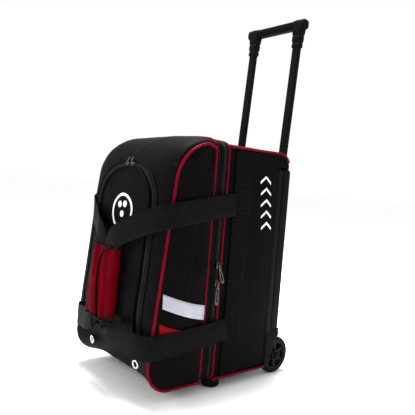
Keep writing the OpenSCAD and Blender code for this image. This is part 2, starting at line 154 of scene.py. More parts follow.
def unit(v):
    v = np.asarray(v, float)
    return v / np.maximum(np.linalg.norm(v, axis=-1, keepdims=True), 1e-9)


def tangents(path, closed=False):
    if closed:
        return unit(np.roll(path, -1, axis=0) - np.roll(path, 1, axis=0))
    return unit(np.gradient(path, axis=0))


def tube(path, radius, sides=12, closed=False, flat=1.0):
    """A round tube along a path. flat squeezes it across its second axis."""
    path = np.asarray(path, float)
    along = tangents(path, closed)
    side = np.cross(along[0], [0.13, 0.29, 0.95])
    rows = []
    radii = np.broadcast_to(radius, len(path))
    for point, t, r in zip(path, along, radii):
        side = unit(side - t * np.dot(side, t))
        up = np.cross(t, side)
        a = np.linspace(0, 2 * math.pi, sides, endpoint=False)[:, None]
        rows.append(point + r * (np.cos(a) * side + flat * np.sin(a) * up))
    total = lengths(path) * MM
    if closed:
        rows.append(rows[0])
        total = np.append(total, total[-1] + np.linalg.norm(path[0] - path[-1]) * MM)
    around = np.linspace(0, 2 * math.pi, sides) * np.mean(radii) * MM
    uv = np.stack(np.meshgrid(around, total), axis=-1)
    points, quads, uv = grid(rows, wrap=True, uv=uv)
    if not closed:
        last = len(points) - sides
        quads.append(list(range(sides)))
        quads.append(list(range(last, last + sides)))
    return points, quads, uv


def strip(path, across, width, thick, lift=0.0):
    """Webbing or tape along a path, with real edges. across is its width direction."""
    path = np.asarray(path, float)
    along = tangents(path)
    across = unit(across - along * np.sum(across * along, axis=1, keepdims=True))
    out = np.cross(across, along)
    half, edge = width / 2, thick / 2
    section = [(-half, -edge * 0.5), (-half + 0.6, -edge), (0, -edge), (half - 0.6, -edge),
               (half, -edge * 0.5), (half, edge * 0.5), (half - 0.6, edge), (half / 2, edge),
               (0, edge), (-half / 2, edge), (-half + 0.6, edge), (-half, edge * 0.5)]
    rows = []
    for p, a, o in zip(path, across, out):
        rows.append([p + a * s + o * (h + lift) for s, h in section])
    total = lengths(path) * MM
    uv = np.stack(np.meshgrid([s * MM for s, _ in section], total), axis=-1)
    points, quads, uv = grid(rows, wrap=True, uv=uv)
    size = len(section)
    last = len(points) - size
    quads.append(list(range(size)))
    quads.append(list(range(last, last + size)))
    return points, quads, uv


def lathe(profile, centre, sides=64):
    """A body of revolution about X. profile is (x offset, radius) pairs, closed."""
    rows = []
    for x, r in profile:
        a = np.linspace(0, 2 * math.pi, sides, endpoint=False)
        ring = np.stack([np.full(sides, x), r * np.cos(a), r * np.sin(a)], axis=1)
        rows.append(ring + np.asarray(centre))
    rows.append(rows[0])
    return grid(rows, wrap=True)


def box(centre, size, turn=None):
    """A small block, for teeth and stitches."""
    half = np.asarray(size, float) / 2
    corners = np.array([[x, y, z] for x in (-1, 1) for y in (-1, 1) for z in (-1, 1)]) * half
    if turn is not None:
        corners = corners @ np.asarray(turn, float)
    quads = [[0, 1, 3, 2], [4, 6, 7, 5], [0, 4, 5, 1], [2, 3, 7, 6], [0, 2, 6, 4], [1, 5, 7, 3]]
    return corners + np.asarray(centre), quads, np.zeros((8, 2))


def rounded_ring(half_a, half_b, power=4.0, count=40):
    """A closed rounded rectangle as (a, b) pairs."""
    ring = []
    for t in np.linspace(0, 2 * math.pi, count, endpoint=False):
        c, s = math.cos(t), math.sin(t)
        size = (abs(c) ** power + abs(s) ** power) ** (-1 / power)
        ring.append((half_a * c * size, half_b * s * size))
    return ring


def capped(rows):
    """A closed body through rings of points, with flat ends."""
    points, quads, uv = grid(rows, wrap=True)
    size = len(rows[0])
    quads.append(list(range(size)))
    quads.append(list(range(len(points) - size, len(points))))
    return points, quads, uv


def wave(point, scale, seed):
    """Smooth noise from -1 to 1 at a point in mm."""
    p = Vector((point[0] / scale + seed, point[1] / scale - seed, point[2] / scale + 2 * seed))
    return noise.noise(p)


# ---- materials ----

def principled(name, color, rough, metallic=0.0, specular=0.5):
    material = bpy.data.materials.new(name)
    material.use_nodes = True
    shader = material.node_tree.nodes["Principled BSDF"]
    shader.inputs["Base Color"].default_value = (*color, 1)
    shader.inputs["Roughness"].default_value = rough
    shader.inputs["Metallic"].default_value = metallic
    shader.inputs["Specular IOR Level"].default_value = specular
    return material


def node(material, kind, **inputs):
    made = material.node_tree.nodes.new("ShaderNode" + kind)
    for key, value in inputs.items():
        made.inputs[key].default_value = value
    return made


def link(material, start, end):
    material.node_tree.links.new(start, end)


def shader_of(material):
    return material.node_tree.nodes["Principled BSDF"]


def coords(material, use_uv):
    source = node(material, "TexCoord")
    return source.outputs["UV" if use_uv else "Object"]


def waves(material, place, direction, period):
    """Bands of a period in metres, as a height from 0 to 1."""
    bands = node(material, "TexWave", Scale=0.31416 / period)
    bands.bands_direction = direction
    link(material, place, bands.inputs["Vector"])
    return bands.outputs["Fac"]


def speckle(material, place, size, detail=2.0):
    grains = node(material, "TexNoise", Scale=1 / size, Detail=detail)
    link(material, place, grains.inputs["Vector"])
    return grains.outputs["Fac"]


def combine(material, operation, a, b):
    made = material.node_tree.nodes.new("ShaderNodeMath")
    made.operation = operation
    for place, value in enumerate((a, b)):
        if isinstance(value, (int, float)):
            made.inputs[place].default_value = value
        else:
            link(material, value, made.inputs[place])
    return made.outputs[0]


def bump(material, height, distance, strength=1.0):
    made = node(material, "Bump", Strength=strength, Distance=distance)
    link(material, height, made.inputs["Height"])
    link(material, made.outputs["Normal"], shader_of(material).inputs["Normal"])


def shade(material, factor, dark, light):
    """Colour that runs from dark to light with a factor."""
    ramp = material.node_tree.nodes.new("ShaderNodeValToRGB")
    ramp.color_ramp.elements[0].position = 0.3
    ramp.color_ramp.elements[1].position = 0.7
    ramp.color_ramp.elements[0].color = (*dark, 1)
    ramp.color_ramp.elements[1].color = (*light, 1)
    link(material, factor, ramp.inputs["Fac"])
    link(material, ramp.outputs["Color"], shader_of(material).inputs["Base Color"])


def vary_roughness(material, factor, low, high):
    scale = node(material, "MapRange")
    scale.inputs["To Min"].default_value = low
    scale.inputs["To Max"].default_value = high
    link(material, factor, scale.inputs["Value"])
    link(material, scale.outputs["Result"], shader_of(material).inputs["Roughness"])


def woven(name, color, rough, period=0.0009, use_uv=True, depth=0.00012, wear_and_crest_highlight=1.35,
          specular=0.012):
    """Plain-weave cloth: crossed threads, fibre grain and a slightly worn, uneven tone, with the threads
    painted in as shade between them and highlight on their crests.
    """
    material = principled(name, color, rough, specular=specular)
    place = coords(material, use_uv)
    across = waves(material, place, "X" if use_uv else "Y", period)
    along = waves(material, place, "Y" if use_uv else "Z", period)
    threads = combine(material, "MULTIPLY", across, along)
    fibre = speckle(material, place, 0.0006)
    height = combine(material, "ADD", threads, combine(material, "MULTIPLY", fibre, 0.6))
    bump(material, height, depth, 0.6)
    tone = speckle(material, coords(material, False), 0.06, 4.0)
    # The colour mixes a random tone with the thread relief, painted in as shade between the threads and a
    # painted highlight on their crests.
    tone_and_painted_relief_shade = combine(material, "ADD", combine(material, "MULTIPLY", tone, 0.8),
                    combine(material, "MULTIPLY", threads, 0.2))
    shade(material, tone_and_painted_relief_shade, [c * 0.8 for c in color], [c * wear_and_crest_highlight for c in color])
    vary_roughness(material, tone, rough - 0.08, rough + 0.08)
    return material


def ribbed(name, color, rough, rib, direction="Y"):
    """Webbing with cross ribs at a spacing in metres, the ribs also painted in as shade in the grooves and
    highlight on the crests.
    """
    material = principled(name, color, rough, specular=0.012)
    place = coords(material, True)
    ribs = waves(material, place, direction, rib)
    fine = waves(material, place, "X", 0.0014)
    height = combine(material, "ADD", ribs, combine(material, "MULTIPLY", fine, 0.25))
    bump(material, height, rib * 0.22, 0.9)
    tone = speckle(material, place, 0.02, 3.0)
    # The colour is half a random tone and half the rib relief: painted shade in the grooves and a painted
    # highlight on the crests.
    tone_and_painted_relief_shade = combine(material, "ADD", combine(material, "MULTIPLY", tone, 0.5),
                    combine(material, "MULTIPLY", ribs, 0.5))
    shade(material, tone_and_painted_relief_shade, [c * 0.6 for c in color], [c * 1.5 for c in color])
    vary_roughness(material, ribs, rough - 0.05, rough + 0.1)
    return material


def grained(name, color, rough, grain=0.0012, depth=0.00015, metallic=0.0):
    """Moulded plastic or painted metal with a fine grain and faint scuffs."""
    material = principled(name, color, rough, metallic=metallic, specular=0.02)
    place = coords(material, False)
    pits = speckle(material, place, grain, 3.0)
    bump(material, pits, depth, 0.7)
    tone = speckle(material, place, 0.05, 5.0)
    shade(material, tone, [c * 0.85 for c in color], [c * 1.2 for c in color])
    vary_roughness(material, tone, rough - 0.06, rough + 0.08)
    return material


NYLON = woven("black_polyester", (0.0034, 0.0034, 0.0038), 0.5, specular=0.012)
# The same black polyester made darker for the side panels: painted shade of the sides.
SIDE_NYLON_PAINTED_SHADE = woven("black_polyester_side_painted_shade", (0.0026, 0.0026, 0.0028), 0.5, use_uv=False,
                   specular=0.012)
LINING = woven("lining_cloth", (0.010, 0.010, 0.012), 0.7, period=0.0014, use_uv=False)
TAPE = ribbed("zip_tape_cloth", (0.0036, 0.0036, 0.0040), 0.5, 0.0045, "X")
WEBBING = ribbed("side_webbing_cloth", (0.0030, 0.0030, 0.0032), 0.5, 0.0054)
STRAP = ribbed("strap_webbing_cloth", (0.0046, 0.0046, 0.0050), 0.5, 0.0016)
PIPING = woven("crimson_piping_cloth", (0.120, 0.0010, 0.0085), 0.33, period=0.0008,
               depth=0.00005, specular=0.02)
RED = woven("red_cloth", (0.078, 0.0003, 0.0026), 0.45, period=0.0008, use_uv=False,
            specular=0.004)
RED_PATCH = woven("red_patch_cloth", (0.19, 0.0040, 0.0060), 0.5, period=0.0008, specular=0.02)
WHITE = woven("reflective_band_cloth", (0.42, 0.42, 0.48), 0.35, period=0.0012, wear_and_crest_highlight=1.1)
PRINT = woven("white_print_ink", (0.85, 0.85, 0.85), 0.5, period=0.0008, wear_and_crest_highlight=1.08)
BINDING = ribbed("black_binding_cloth", (0.0026, 0.0026, 0.0030), 0.45, 0.0018)
TEETH = grained("zip_teeth_plastic", (0.018, 0.018, 0.019), 0.35)
THREAD = grained("seam_thread", (0.030, 0.030, 0.032), 0.6)
PLASTIC = grained("moulded_black_plastic", (0.0042, 0.0042, 0.0041), 0.45)
GRIP = grained("grip_rubber_black", (0.0026, 0.0026, 0.0028), 0.5, 0.0008)
TUBE = grained("black_anodised_tube", (0.0042, 0.0042, 0.0046), 0.35, 0.0005, 0.00003)
BARE = grained("bare_aluminium", (0.42, 0.42, 0.44), 0.35, 0.0005, 0.00003, metallic=1.0)
NYLON_WHITE = grained("white_nylon_plastic", (0.62, 0.62, 0.58), 0.45)
STEEL = grained("zinc_plated_steel", (0.40, 0.40, 0.42), 0.35, 0.0006, 0.00004, metallic=1.0)
PULL = grained("gunmetal_pull", (0.055, 0.052, 0.047), 0.3, 0.0007, 0.00006, metallic=0.9)
CHROME = grained("bright_grommet", (0.50, 0.50, 0.52), 0.25, 0.0006, 0.00003, metallic=1.0)
TYRE = grained("tyre_rubber_black", (0.0075, 0.0075, 0.0075), 0.65, 0.0015, 0.0002)
HUB = grained("hub_plastic_grey", (0.012, 0.012, 0.013), 0.45)

FINISH = {
    "black_nylon": NYLON, "lining": LINING, "base_fabric": NYLON, "zip_tape": TAPE,
    "webbing": WEBBING, "crimson_piping": PIPING, "red_fabric": RED, "reflective_white": WHITE,
    "black_plastic": PLASTIC, "grip_rubber": GRIP, "dark_aluminium": TUBE,
    "plain_aluminium": BARE, "white_nylon": NYLON_WHITE, "steel": STEEL, "pull_metal": PULL,
    "tyre_rubber": TYRE, "hub_plastic": HUB,
}


def dress_frame():
    """Gives every CAD node the finish of its slot."""
    for row in frame["record"]["subparts"]:
        obj = frame["nodes"][row["node"]]
        obj.data.materials.clear()
        obj.data.materials.append(FINISH[row["material_slot"]])


dress_frame()


# ---- outlines ----

def lid_profile():
    """Outline of the lid's side, from the foot of its rear edge round the front to the top.
    Rows of (y, z)."""
    lean = math.radians(5.7)
    line = [(LID_REAR_U, BASE_Z), (60, BASE_Z), (90, BASE_Z)]
    for a in np.linspace(-90, 5.7, 14):
        line.append((LOW_U + LOW_R * math.cos(math.radians(a)), LOW_Z + LOW_R * math.sin(math.radians(a))))
    start = np.array(line[-1])
    end = np.array([BROW_U + TOP_R * math.cos(lean), BROW_Z + TOP_R * math.sin(lean)])
    for f in np.linspace(0, 1, 30)[1:-1]:
        line.append(tuple(start + (end - start) * f))
    for a in np.linspace(5.7, 90, 18):
        line.append((BROW_U + TOP_R * math.cos(math.radians(a)), BROW_Z + TOP_R * math.sin(math.radians(a))))
    line.append((LID_REAR_U, TOP_Z))
    return np.array([(SEAM_Y - u, z) for u, z in line])


PROFILE = lid_profile()
PROFILE_S = lengths(PROFILE)
PROFILE_T = unit(np.gradient(PROFILE, axis=0))
PROFILE_N = np.stack([-PROFILE_T[:, 1], PROFILE_T[:, 0]], axis=1)


def at_length(s):
    """Point and outward normal of the lid's outline at a length along it."""
    y = np.interp(s, PROFILE_S, PROFILE[:, 0])
    z = np.interp(s, PROFILE_S, PROFILE[:, 1])
    n = unit([np.interp(s, PROFILE_S, PROFILE_N[:, 0]), np.interp(s, PROFILE_S, PROFILE_N[:, 1])])
    return y, z, n


def length_at(z):
    """Length along the outline at a height on its front."""
    low = np.argmin(np.abs(PROFILE[:, 1] - LOW_Z))
    return np.interp(z, PROFILE[low:, 1], PROFILE_S[low:])


S_END = PROFILE_S[-1]
# how far the skin stands out near its side edges and in its middle, by length along the
# outline: it sags under the toe
BULGE_S = [0, 70, length_at(82), length_at(112), length_at(165), length_at(300),
           length_at(430), length_at(510), S_END]
BULGE_EDGE = [3, 6, 7, 7.5, 9, 10, 11.5, 11.5, 10]
BULGE_CENTRE = [-6, -16, -20.7, -9, 5, 6, 6.5, 6.5, 6]


# creases pulled up from the pocket's zip, as (x, s above the zip's top) at both ends and depth
CREASES = [(-6, 16, -72, 84, 2.6), (8, 18, 74, 96, 2.2), (-40, 14, -96, 44, 2.0),
           (96, -50, 126, 16, 1.8)]


def crease(x, s):
    """Depth of the skin's creases at a place."""
    depth = 0.0
    for x0, s0, x1, s1, deep in CREASES:
        start, end = np.array((x0, s0)), np.array((x1, s1))
        here = np.array((x, s - length_at(ZIP_TOP)))
        f = np.clip(np.dot(here - start, end - start) / np.dot(end - start, end - start), 0, 1)
        gap = np.linalg.norm(here - start - f * (end - start))
        depth += deep * math.exp(-(gap / 6) ** 2) * math.sin(math.pi * (0.15 + 0.7 * f))
    return depth


def front_point(x, s, lift=0.0):
    """A point on the lid's crowned front skin."""
    y, z, n = at_length(s)
    side = min(abs(x) / HALF_W, 1)
    amount = np.interp(s, BULGE_S, BULGE_EDGE) * math.sqrt(1 - side ** 9)
    amount += np.interp(s, BULGE_S, BULGE_CENTRE) * (1 - side ** 4)
    fade = 1 - side ** 6
    soft = wave((x, 0, s), 95, 3.1) * 3.4 + wave((x * 0.7, 0, s * 1.2), 45, 7.7) * 1.8
    push = amount + fade * (soft - crease(x, s)) + lift
    return np.array([x, y + n[0] * push, z + n[1] * push])


def front_rows(lines, lift=0.0):
    """Points on the front skin for rows of (x, s), with their uv."""
    points = [[front_point(x, s, lift) for x, s in line] for line in lines]
    uv = [[(x * MM, s * MM) for x, s in line] for line in lines]
    return grid(points, uv=uv)


ARCH_LOW = 378
ARCH_POWER = 2.5


def arch_line(grow, count=40):
    """Half of the pocket's arched outline as (half width, height), from its foot to its top."""
    half = ZIP_HALF_W + grow
    top = ZIP_TOP + grow * (0.35 if grow < 0 else 0.6)
    line = [(half, z) for z in np.linspace(FLAP_Z, ARCH_LOW, 16)[:-1]]
    for a in np.linspace(0, math.pi / 2, count):
        line.append((half * max(math.cos(a), 0) ** (2 / ARCH_POWER),
                     ARCH_LOW + (top - ARCH_LOW) * math.sin(a) ** (2 / ARCH_POWER)))
    return line


def arch_path(grow):
    """The whole arch as (x, s), from the right foot over the top to the left foot."""
    right = [(x, length_at(z)) for x, z in arch_line(grow)]
    left = [(-x, s) for x, s in reversed(right[:-1])]
    return right + left


# ---- lid ----

def front_cover():
    """The lid's front skin with the arched opening."""
    edge = arch_line(12)
    middle = [(x, length_at(z)) for x, z in edge]
    s_foot = middle[0][1]
    below = [(middle[0][0], s) for s in np.linspace(0, s_foot, 26)[:-1]]
    s_top = middle[-1][1]
    above = [(0, s) for s in np.linspace(s_top, S_END, 22)[1:]]
    rows = below + middle + above
    parts = []
    for side in (1, -1):
        lines = []
        for x0, s in rows:
            lines.append([(side * (x0 + (HALF_W - x0) * f), s) for f in np.linspace(0, 1, 15)])
        parts.append(front_rows(lines))
    foot = middle[0][0]
    lines = [[(x, s) for x in np.linspace(-foot, foot, 29)] for _, s in below + middle[:1]]
    parts.append(front_rows(lines))
    return parts


def thicken(obj, thick, offset=-1):
    solid = obj.modifiers.new("cloth", "SOLIDIFY")
    solid.thickness = thick * MM
    solid.offset = offset
    solid.use_even_offset = False


def bake_modifiers(obj):
    """Applies an object's modifiers to its mesh."""
    evaluated = obj.evaluated_get(bpy.context.evaluated_depsgraph_get())
    mesh = bpy.data.meshes.new_from_object(evaluated)
    obj.modifiers.clear()
    obj.data = mesh


def with_lid(*objs):
    """Applies the modifiers of the lid's pieces to their meshes and gives each a mesh of its own."""
    for obj in objs:
        bake_modifiers(obj)
        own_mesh(obj)


def make_lid_front():
    cover = piece("lid_front_cover", front_cover(), NYLON, "lid", ["lid_front"])
    thicken(cover, 3.0)
    lips = [tube([front_point(x, s, 0.6) for x, s in arch_path(12)], 1.7, 8)]
    lip = piece("pocket_opening_lip", lips, BINDING, "lid")
    return [cover, lip]


def band(inner, outer, lift, columns=5):
    """A strip between two arched outlines, laid on the front skin."""
    a, b = arch_path(inner), arch_path(outer)
    points, uv = [], []
    total = 0.0
    for i, (p, q) in enumerate(zip(a, b)):
        if i:
            total += math.dist(p, a[i - 1])
        fractions = np.linspace(0, 1, columns)
        points.append([front_point(p[0] + (q[0] - p[0]) * f, p[1] + (q[1] - p[1]) * f, lift)
                       for f in fractions])
        uv.append([((outer - inner) * f * MM, total * MM) for f in fractions])
    return grid(points, uv=uv)


def along_line(points, pitch):
    """Evenly spaced places along a line of points, with directions."""
    points = np.asarray(points, float)
    total = lengths(points)
    places = np.arange(pitch / 2, total[-1], pitch)
    line = np.stack([np.interp(places, total, points[:, k]) for k in range(3)], axis=1)
    return line, tangents(line)


def teeth(points, normals_to, side, pitch=2.6, size=(2.6, 1.5, 1.3)):
    """One row of zip teeth along a line. normals_to gives the outward direction at a point."""
    line, along = along_line(points, pitch)
    parts = []
    for p, t in zip(line, along):
        out = unit(normals_to(p))
        across = np.cross(out, t) * side
        parts.append(box(p + across * size[0] * 0.35, size, [across, t, out]))
    return parts


def zip_around_pocket():
    front = lambda p: (0, -1, 0.25 if p[2] > 420 else 0)
    tapes = [band(0.6, 12.5, -1.2, 4)]
    outer = piece("pocket_tape_outer", tapes, TAPE, "lid")
    thicken(outer, 1.0)
    inner = piece("pocket_tape_inner", [band(-12.5, -0.6, -1.2, 4)], TAPE, "flap")
    thicken(inner, 1.0)
    path = [front_point(x, s, 0.2) for x, s in arch_path(0)]
    outer_teeth = piece("pocket_teeth_outer", teeth(path, front, -1), TEETH, "lid",
                        smooth=False, weld=0.0001)
    inner_teeth = piece("pocket_teeth_inner", teeth(path, front, 1), TEETH, "flap",
                        smooth=False, weld=0.0001)
    seams = [tube([front_point(x, s, -0.2) for x, s in arch_path(grow)], 0.45, 6)
             for grow in (4.5, 8.5)]
    stitches = piece("pocket_seams", seams, THREAD, "lid")
    return [outer, inner, outer_teeth, inner_teeth, stitches]


def flap_cover():
    """The flap's cloth, inside its zip."""
    edge = arch_line(-12)
    lines = [[(x * f, length_at(max(z, FLAP_Z + 3))) for f in np.linspace(-1, 1, 27)]
             for x, z in edge]
    return [front_rows(lines, 0.6)]


def ring_badge(centre_s, radius):
    """A ring with three round spots on the flap."""
    parts = [badge_ring((0, centre_s), radius - 6, radius)]
    for x, s in ((-11, 15), (9, 17), (1, -5)):
        parts.append(badge_ring((x, centre_s + s), 0.5, 7))
    return parts


def badge_ring(centre, inner, outer, count=48):
    rows, uv = [], []
    for r in np.linspace(inner, outer, 4):
        ring = []
        for a in np.linspace(0, 2 * math.pi, count + 1):
            ring.append((centre[0] + r * math.cos(a), centre[1] + r * math.sin(a)))
        rows.append([front_point(x, s, 1.5) for x, s in ring])
        uv.append([(x * MM, s * MM) for x, s in ring])
    return grid(rows, uv=uv)


def make_flap():
    cover = piece("shoe_flap_cover", flap_cover(), NYLON, "flap", ["shoe_flap"])
    thicken(cover, 3.0)
    # The flap's rolled edge in the darker binding cloth: a real edge, made darker as painted shade of the
    # gap round the flap.
    edge = [tube([front_point(x, s, 1.2) for x, s in arch_path(-12)], 2.4, 8)]
    lip = piece("flap_edge_lip_painted_gap_shade", edge, BINDING, "flap")
    badge = piece("flap_badge", ring_badge(length_at(372), 40), PRINT, "flap",
                  ["flap_emblem"])
    thicken(badge, 0.5, 1)
    return [cover, lip, badge]


def lid_side_outline():
    """Closed outline of a lid side in (y, z), from the front foot round to the rear edge."""
    front = [tuple(p) for p in PROFILE]
    rear_y = SEAM_Y - LID_REAR_U
    rear = [(rear_y, z) for z in np.linspace(TOP_Z, BASE_Z, 40)[1:-1]]
    return np.array(front + rear)


def pad_rings(outline, spine, base_x, height, side, ripple, rings=14):
    """A domed panel inside a closed outline in (y, z), with its rings drawn in to a spine."""
    low, high = np.array(spine[0], float), np.array(spine[1], float)
    axis = high - low
    rows = []
    for r in np.concatenate([np.linspace(0, 0.85, rings), [0.9, 0.94, 0.97, 1.0]]):
        row = []
        for b in outline:
            t = np.clip(np.dot(b - low, axis) / np.dot(axis, axis), 0, 1)
            c = low + axis * t
            y, z = c + (b - c) * r
            dome = (1 - r ** 3.2) ** 0.75
            x = base_x + height * dome + ripple(y, z) * min(1, (1 - r) * 5)
            row.append((side * x, y, z))
        rows.append(row)
    uv = [[(p[1] * MM, p[2] * MM) for p in row] for row in rows]
    return grid(rows, wrap=True, uv=uv)


def lid_ripple(y, z):
    """Soft folds of the lid's side: a pinch at the top rear corner and slack near the strap."""
    pinch = math.exp(-((y + 92) / 16) ** 2 - ((z - 505) / 30) ** 2)
    slack = math.sin((z - 0.5 * y) / 17) * math.exp(-((z - 350) / 60) ** 2)
    return -7 * pinch + 1.4 * slack + 3.4 * wave((0, y, z), 55, 5.3)


def make_lid_sides():
    made = []
    for side, word in SIDES:
        outline = lid_side_outline()
        part = pad_rings(outline, ((-140, 95), (-118, 455)), HALF_W - 1, 9, side, lid_ripple)
        cover = piece(word + "_lid_side_cover", [part], SIDE_NYLON_PAINTED_SHADE, "lid",
                      [word + "_lid_side"], weld=0.05)
        thicken(cover, 2.5)
        made.append(cover)
    return made


def lid_side_x(y, z):
    """Roughly how far the lid's side cover stands out at a place."""
    front = np.interp(z, PROFILE[3:, 1], PROFILE[3:, 0])
    rear = SEAM_Y - LID_REAR_U
    middle = (front + rear) / 2
    half = abs(rear - front) / 2
    r = min(abs(y - middle) / half, 1)
    return HALF_W - 1 + 9 * (1 - r ** 3.2) ** 0.75


def side_patch(side, front, rear, sag, lift):
    """A slanted patch on a lid side. front and rear are [u, low z, high z]."""
    rows = []
    for f in np.linspace(0, 1, 18):
        u = front[0] + (rear[0] - front[0]) * f
        low = front[1] + (rear[1] - front[1]) * f - sag * math.sin(math.pi * f)
        high = front[2] + (rear[2] - front[2]) * f - sag * math.sin(math.pi * f)
        y = SEAM_Y - u
        rows.append([(side * (lid_side_x(y, z) + lift), y, z) for z in np.linspace(low, high, 6)])
    return grid(rows)


def make_patches():
    bands, reds = [], []
    for side in (1, -1):
        bands.append(side_patch(side, (140, 197, 226), (29, 162, 193), 3, 1.8))
        reds.append(side_patch(side, (144, 126, 168), (60, 112, 146), 5, 1.4))
    white = piece("reflective_side_bands", bands, WHITE, "lid",
                  ["reflective_bands"])
    red = piece("red_side_patches", reds, RED_PATCH, "lid", ["red_patches"])
    for obj in (white, red):
        thicken(obj, 0.8, 0)
    return [white, red]


def ring_path(y, half, low, high, radius, crown, count=10):
    """A rounded ring round the bag at one depth: bottom, right side, crowned top, left side."""
    line = []
    corners = [(half - radius, low + radius, -90), (half - radius, high - radius, 0),
               (-half + radius, high - radius, 90), (-half + radius, low + radius, 180)]
    for cx, cz, start in corners:
        for a in np.linspace(start, start + 90, count):
            line.append((cx + radius * math.cos(math.radians(a)), cz + radius * math.sin(math.radians(a))))
    dense = []
    for i, p in enumerate(line):
        q = line[(i + 1) % len(line)]
        steps = (52 if i // count in (0, 2) else 30) if i % count == count - 1 else 1
        for k in range(steps):
            dense.append((p[0] + (q[0] - p[0]) * k / steps, p[1] + (q[1] - p[1]) * k / steps))
    out = []
    for x, z in dense:
        rise = crown * (1 - min(abs(x) / half, 1) ** 4) if z > (low + high) / 2 else 0
        out.append((x, y, z + rise))
    return np.array(out)


def seam_ring(y, inset=0.0):
    """The ring round the bag near its zip: a taller, rounder lid edge that eases to the shell."""
    f = (y - SEAM_Y + LID_REAR_U) / (SHELL_FRONT - SEAM_Y + LID_REAR_U)
    return ring_path(y, HALF_W + 0.5 - inset, BASE_Z + inset, TOP_Z + 8 - 5 * f - inset,
                     24 - 8 * f, 9 + 3 * f)


def seam_band(y0, y1, inset0, inset1, body, name):
    """A band of cloth round the seam between two depths."""
    rows = []
    for f in np.linspace(0, 1, 9):
        puff = 1.8 * math.sin(math.pi * f) ** 0.7
        rows.append(seam_ring(y0 + (y1 - y0) * f, inset0 + (inset1 - inset0) * f - puff))
    total = lengths(rows[0]) * MM
    uv = np.stack(np.meshgrid(total, np.linspace(y0, y1, 9) * MM), axis=-1)[..., ::-1]
    obj = piece(name, [grid(rows, wrap=True, uv=uv)], TAPE, body)
    thicken(obj, 2.0)
    return obj


def seam_teeth(y, side, body, name):
    path = seam_ring(y, 2.0)
    parts = []
    for p, q in zip(*along_line(np.vstack([path, path[:1]]), 3.2)):
        out = unit(np.cross(q, (0, 1, 0)))
        out = out if np.dot(out, p - np.array([0, y, 280])) > 0 else -out
        parts.append(box(p + np.array([0, side * 1.2, 0]), (3.2, 1.9, 1.8), [(0, 1, 0), q, out]))
    return piece(name, parts, TEETH, body, smooth=False, weld=0.0001)


def make_seam():
    """Zip bands and teeth: the lid's half and the shell's half."""
    rear = SEAM_Y - LID_REAR_U
    gusset = seam_band(rear, SEAM_Y - 13, 0, 1.0, "lid", "lid_zip_gusset")
    gusset.data.materials[0] = NYLON
    tape = seam_band(SEAM_Y - 13, SEAM_Y - 2.4, 1.6, 2.6, "lid", "lid_zip_band")
    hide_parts("lid_zip_tape")
    lid_teeth = seam_teeth(SEAM_Y - 0.3, -1, "lid", "lid_zip_teeth")
    shell_band = seam_band(SEAM_Y + 2.4, SHELL_FRONT, 2.6, 0.5, "shell", "shell_zip_band")
    bake_modifiers(shell_band)
    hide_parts("shell_zip_tape")
    seam_teeth(SEAM_Y + 0.3, 1, "shell", "shell_zip_teeth")
    return [gusset, tape, lid_teeth]


def make_lid_piping():
    made = []
    for side, word in SIDES:
        path = []
        for y, z in PROFILE:
            dip = 9 * max(0, (y + 112) / 30) ** 2 if z > 400 else 0
            path.append((side * (HALF_W + 0.5 - dip * 0.1), y, z - dip))
        if side < 0:
            path = [(x + 1, y - n[0] * 2.4, z - n[1] * 2.4) for (x, y, z), n in zip(path, PROFILE_N)]
        parts = [tube(smooth_line(path, 160), PIPING_R)]
        made.append(piece(word + "_lid_edge_piping", parts, PIPING, "lid",
                          [word + "_lid_piping"]))
    ring = seam_ring(SEAM_Y - LID_REAR_U)
    made.append(piece("lid_rear_piping", [tube(ring, SHELL_PIPING_R, closed=True)], PIPING, "lid"))
    return made


def make_grommets():
    parts = []
    for side in (1, -1):
        centre = front_point(side * 92, length_at(81) - 15, 2.2)
        normal = unit((side * 0.12, -1, -0.1))
        first = unit(np.cross(normal, (0, 0, 1)))
        second = np.cross(normal, first)
        rows = []
        for r, h in ((5.6, -3), (5.4, 0.6), (6.4, 1.9), (8.4, 2.0), (9.6, 1.2), (9.9, 0), (9.6, -1)):
            a = np.linspace(0, 2 * math.pi, 40, endpoint=False)[:, None]
            rows.append(centre + r * (np.cos(a) * first + np.sin(a) * second) + normal * h)
        parts.append(grid(rows, wrap=True))
    rings = piece("vent_eyelets", parts, CHROME, "lid", ["vent_grommets"])
    return [rings]


lid_pieces = make_lid_front() + zip_around_pocket() + make_flap() + make_lid_sides()
lid_pieces += make_patches() + make_seam() + make_lid_piping() + make_grommets()


# ---- zip sliders and pulls ----

def rounded_body(centre, half, axes, power=4.0, levels=9, around=20):
    """A block with rounded edges all over, along three axes."""
    axes = np.asarray(axes, float)
    rows = []
    for v in np.linspace(-math.pi / 2 + 0.02, math.pi / 2 - 0.02, levels):
        rise = math.copysign(abs(math.sin(v)) ** (2 / power), v)
        size = math.cos(v) ** (2 / power)
        ring = rounded_ring(half[0] * size, half[1] * size, power, around)
        rows.append([np.asarray(centre) + axes[0] * a + axes[1] * b + axes[2] * half[2] * rise
                     for a, b in ring])
    return capped(rows)


def pull_outline(widths, start, end, margin, count=22):
    """Closed outline of half widths along a pull, as (across, down) pairs."""
    downs = np.linspace(start, end, count)
    halves = np.interp(downs, *zip(*widths)) + margin
    right = list(zip(halves, downs))
    return right + [(-a, d) for a, d in reversed(right)]


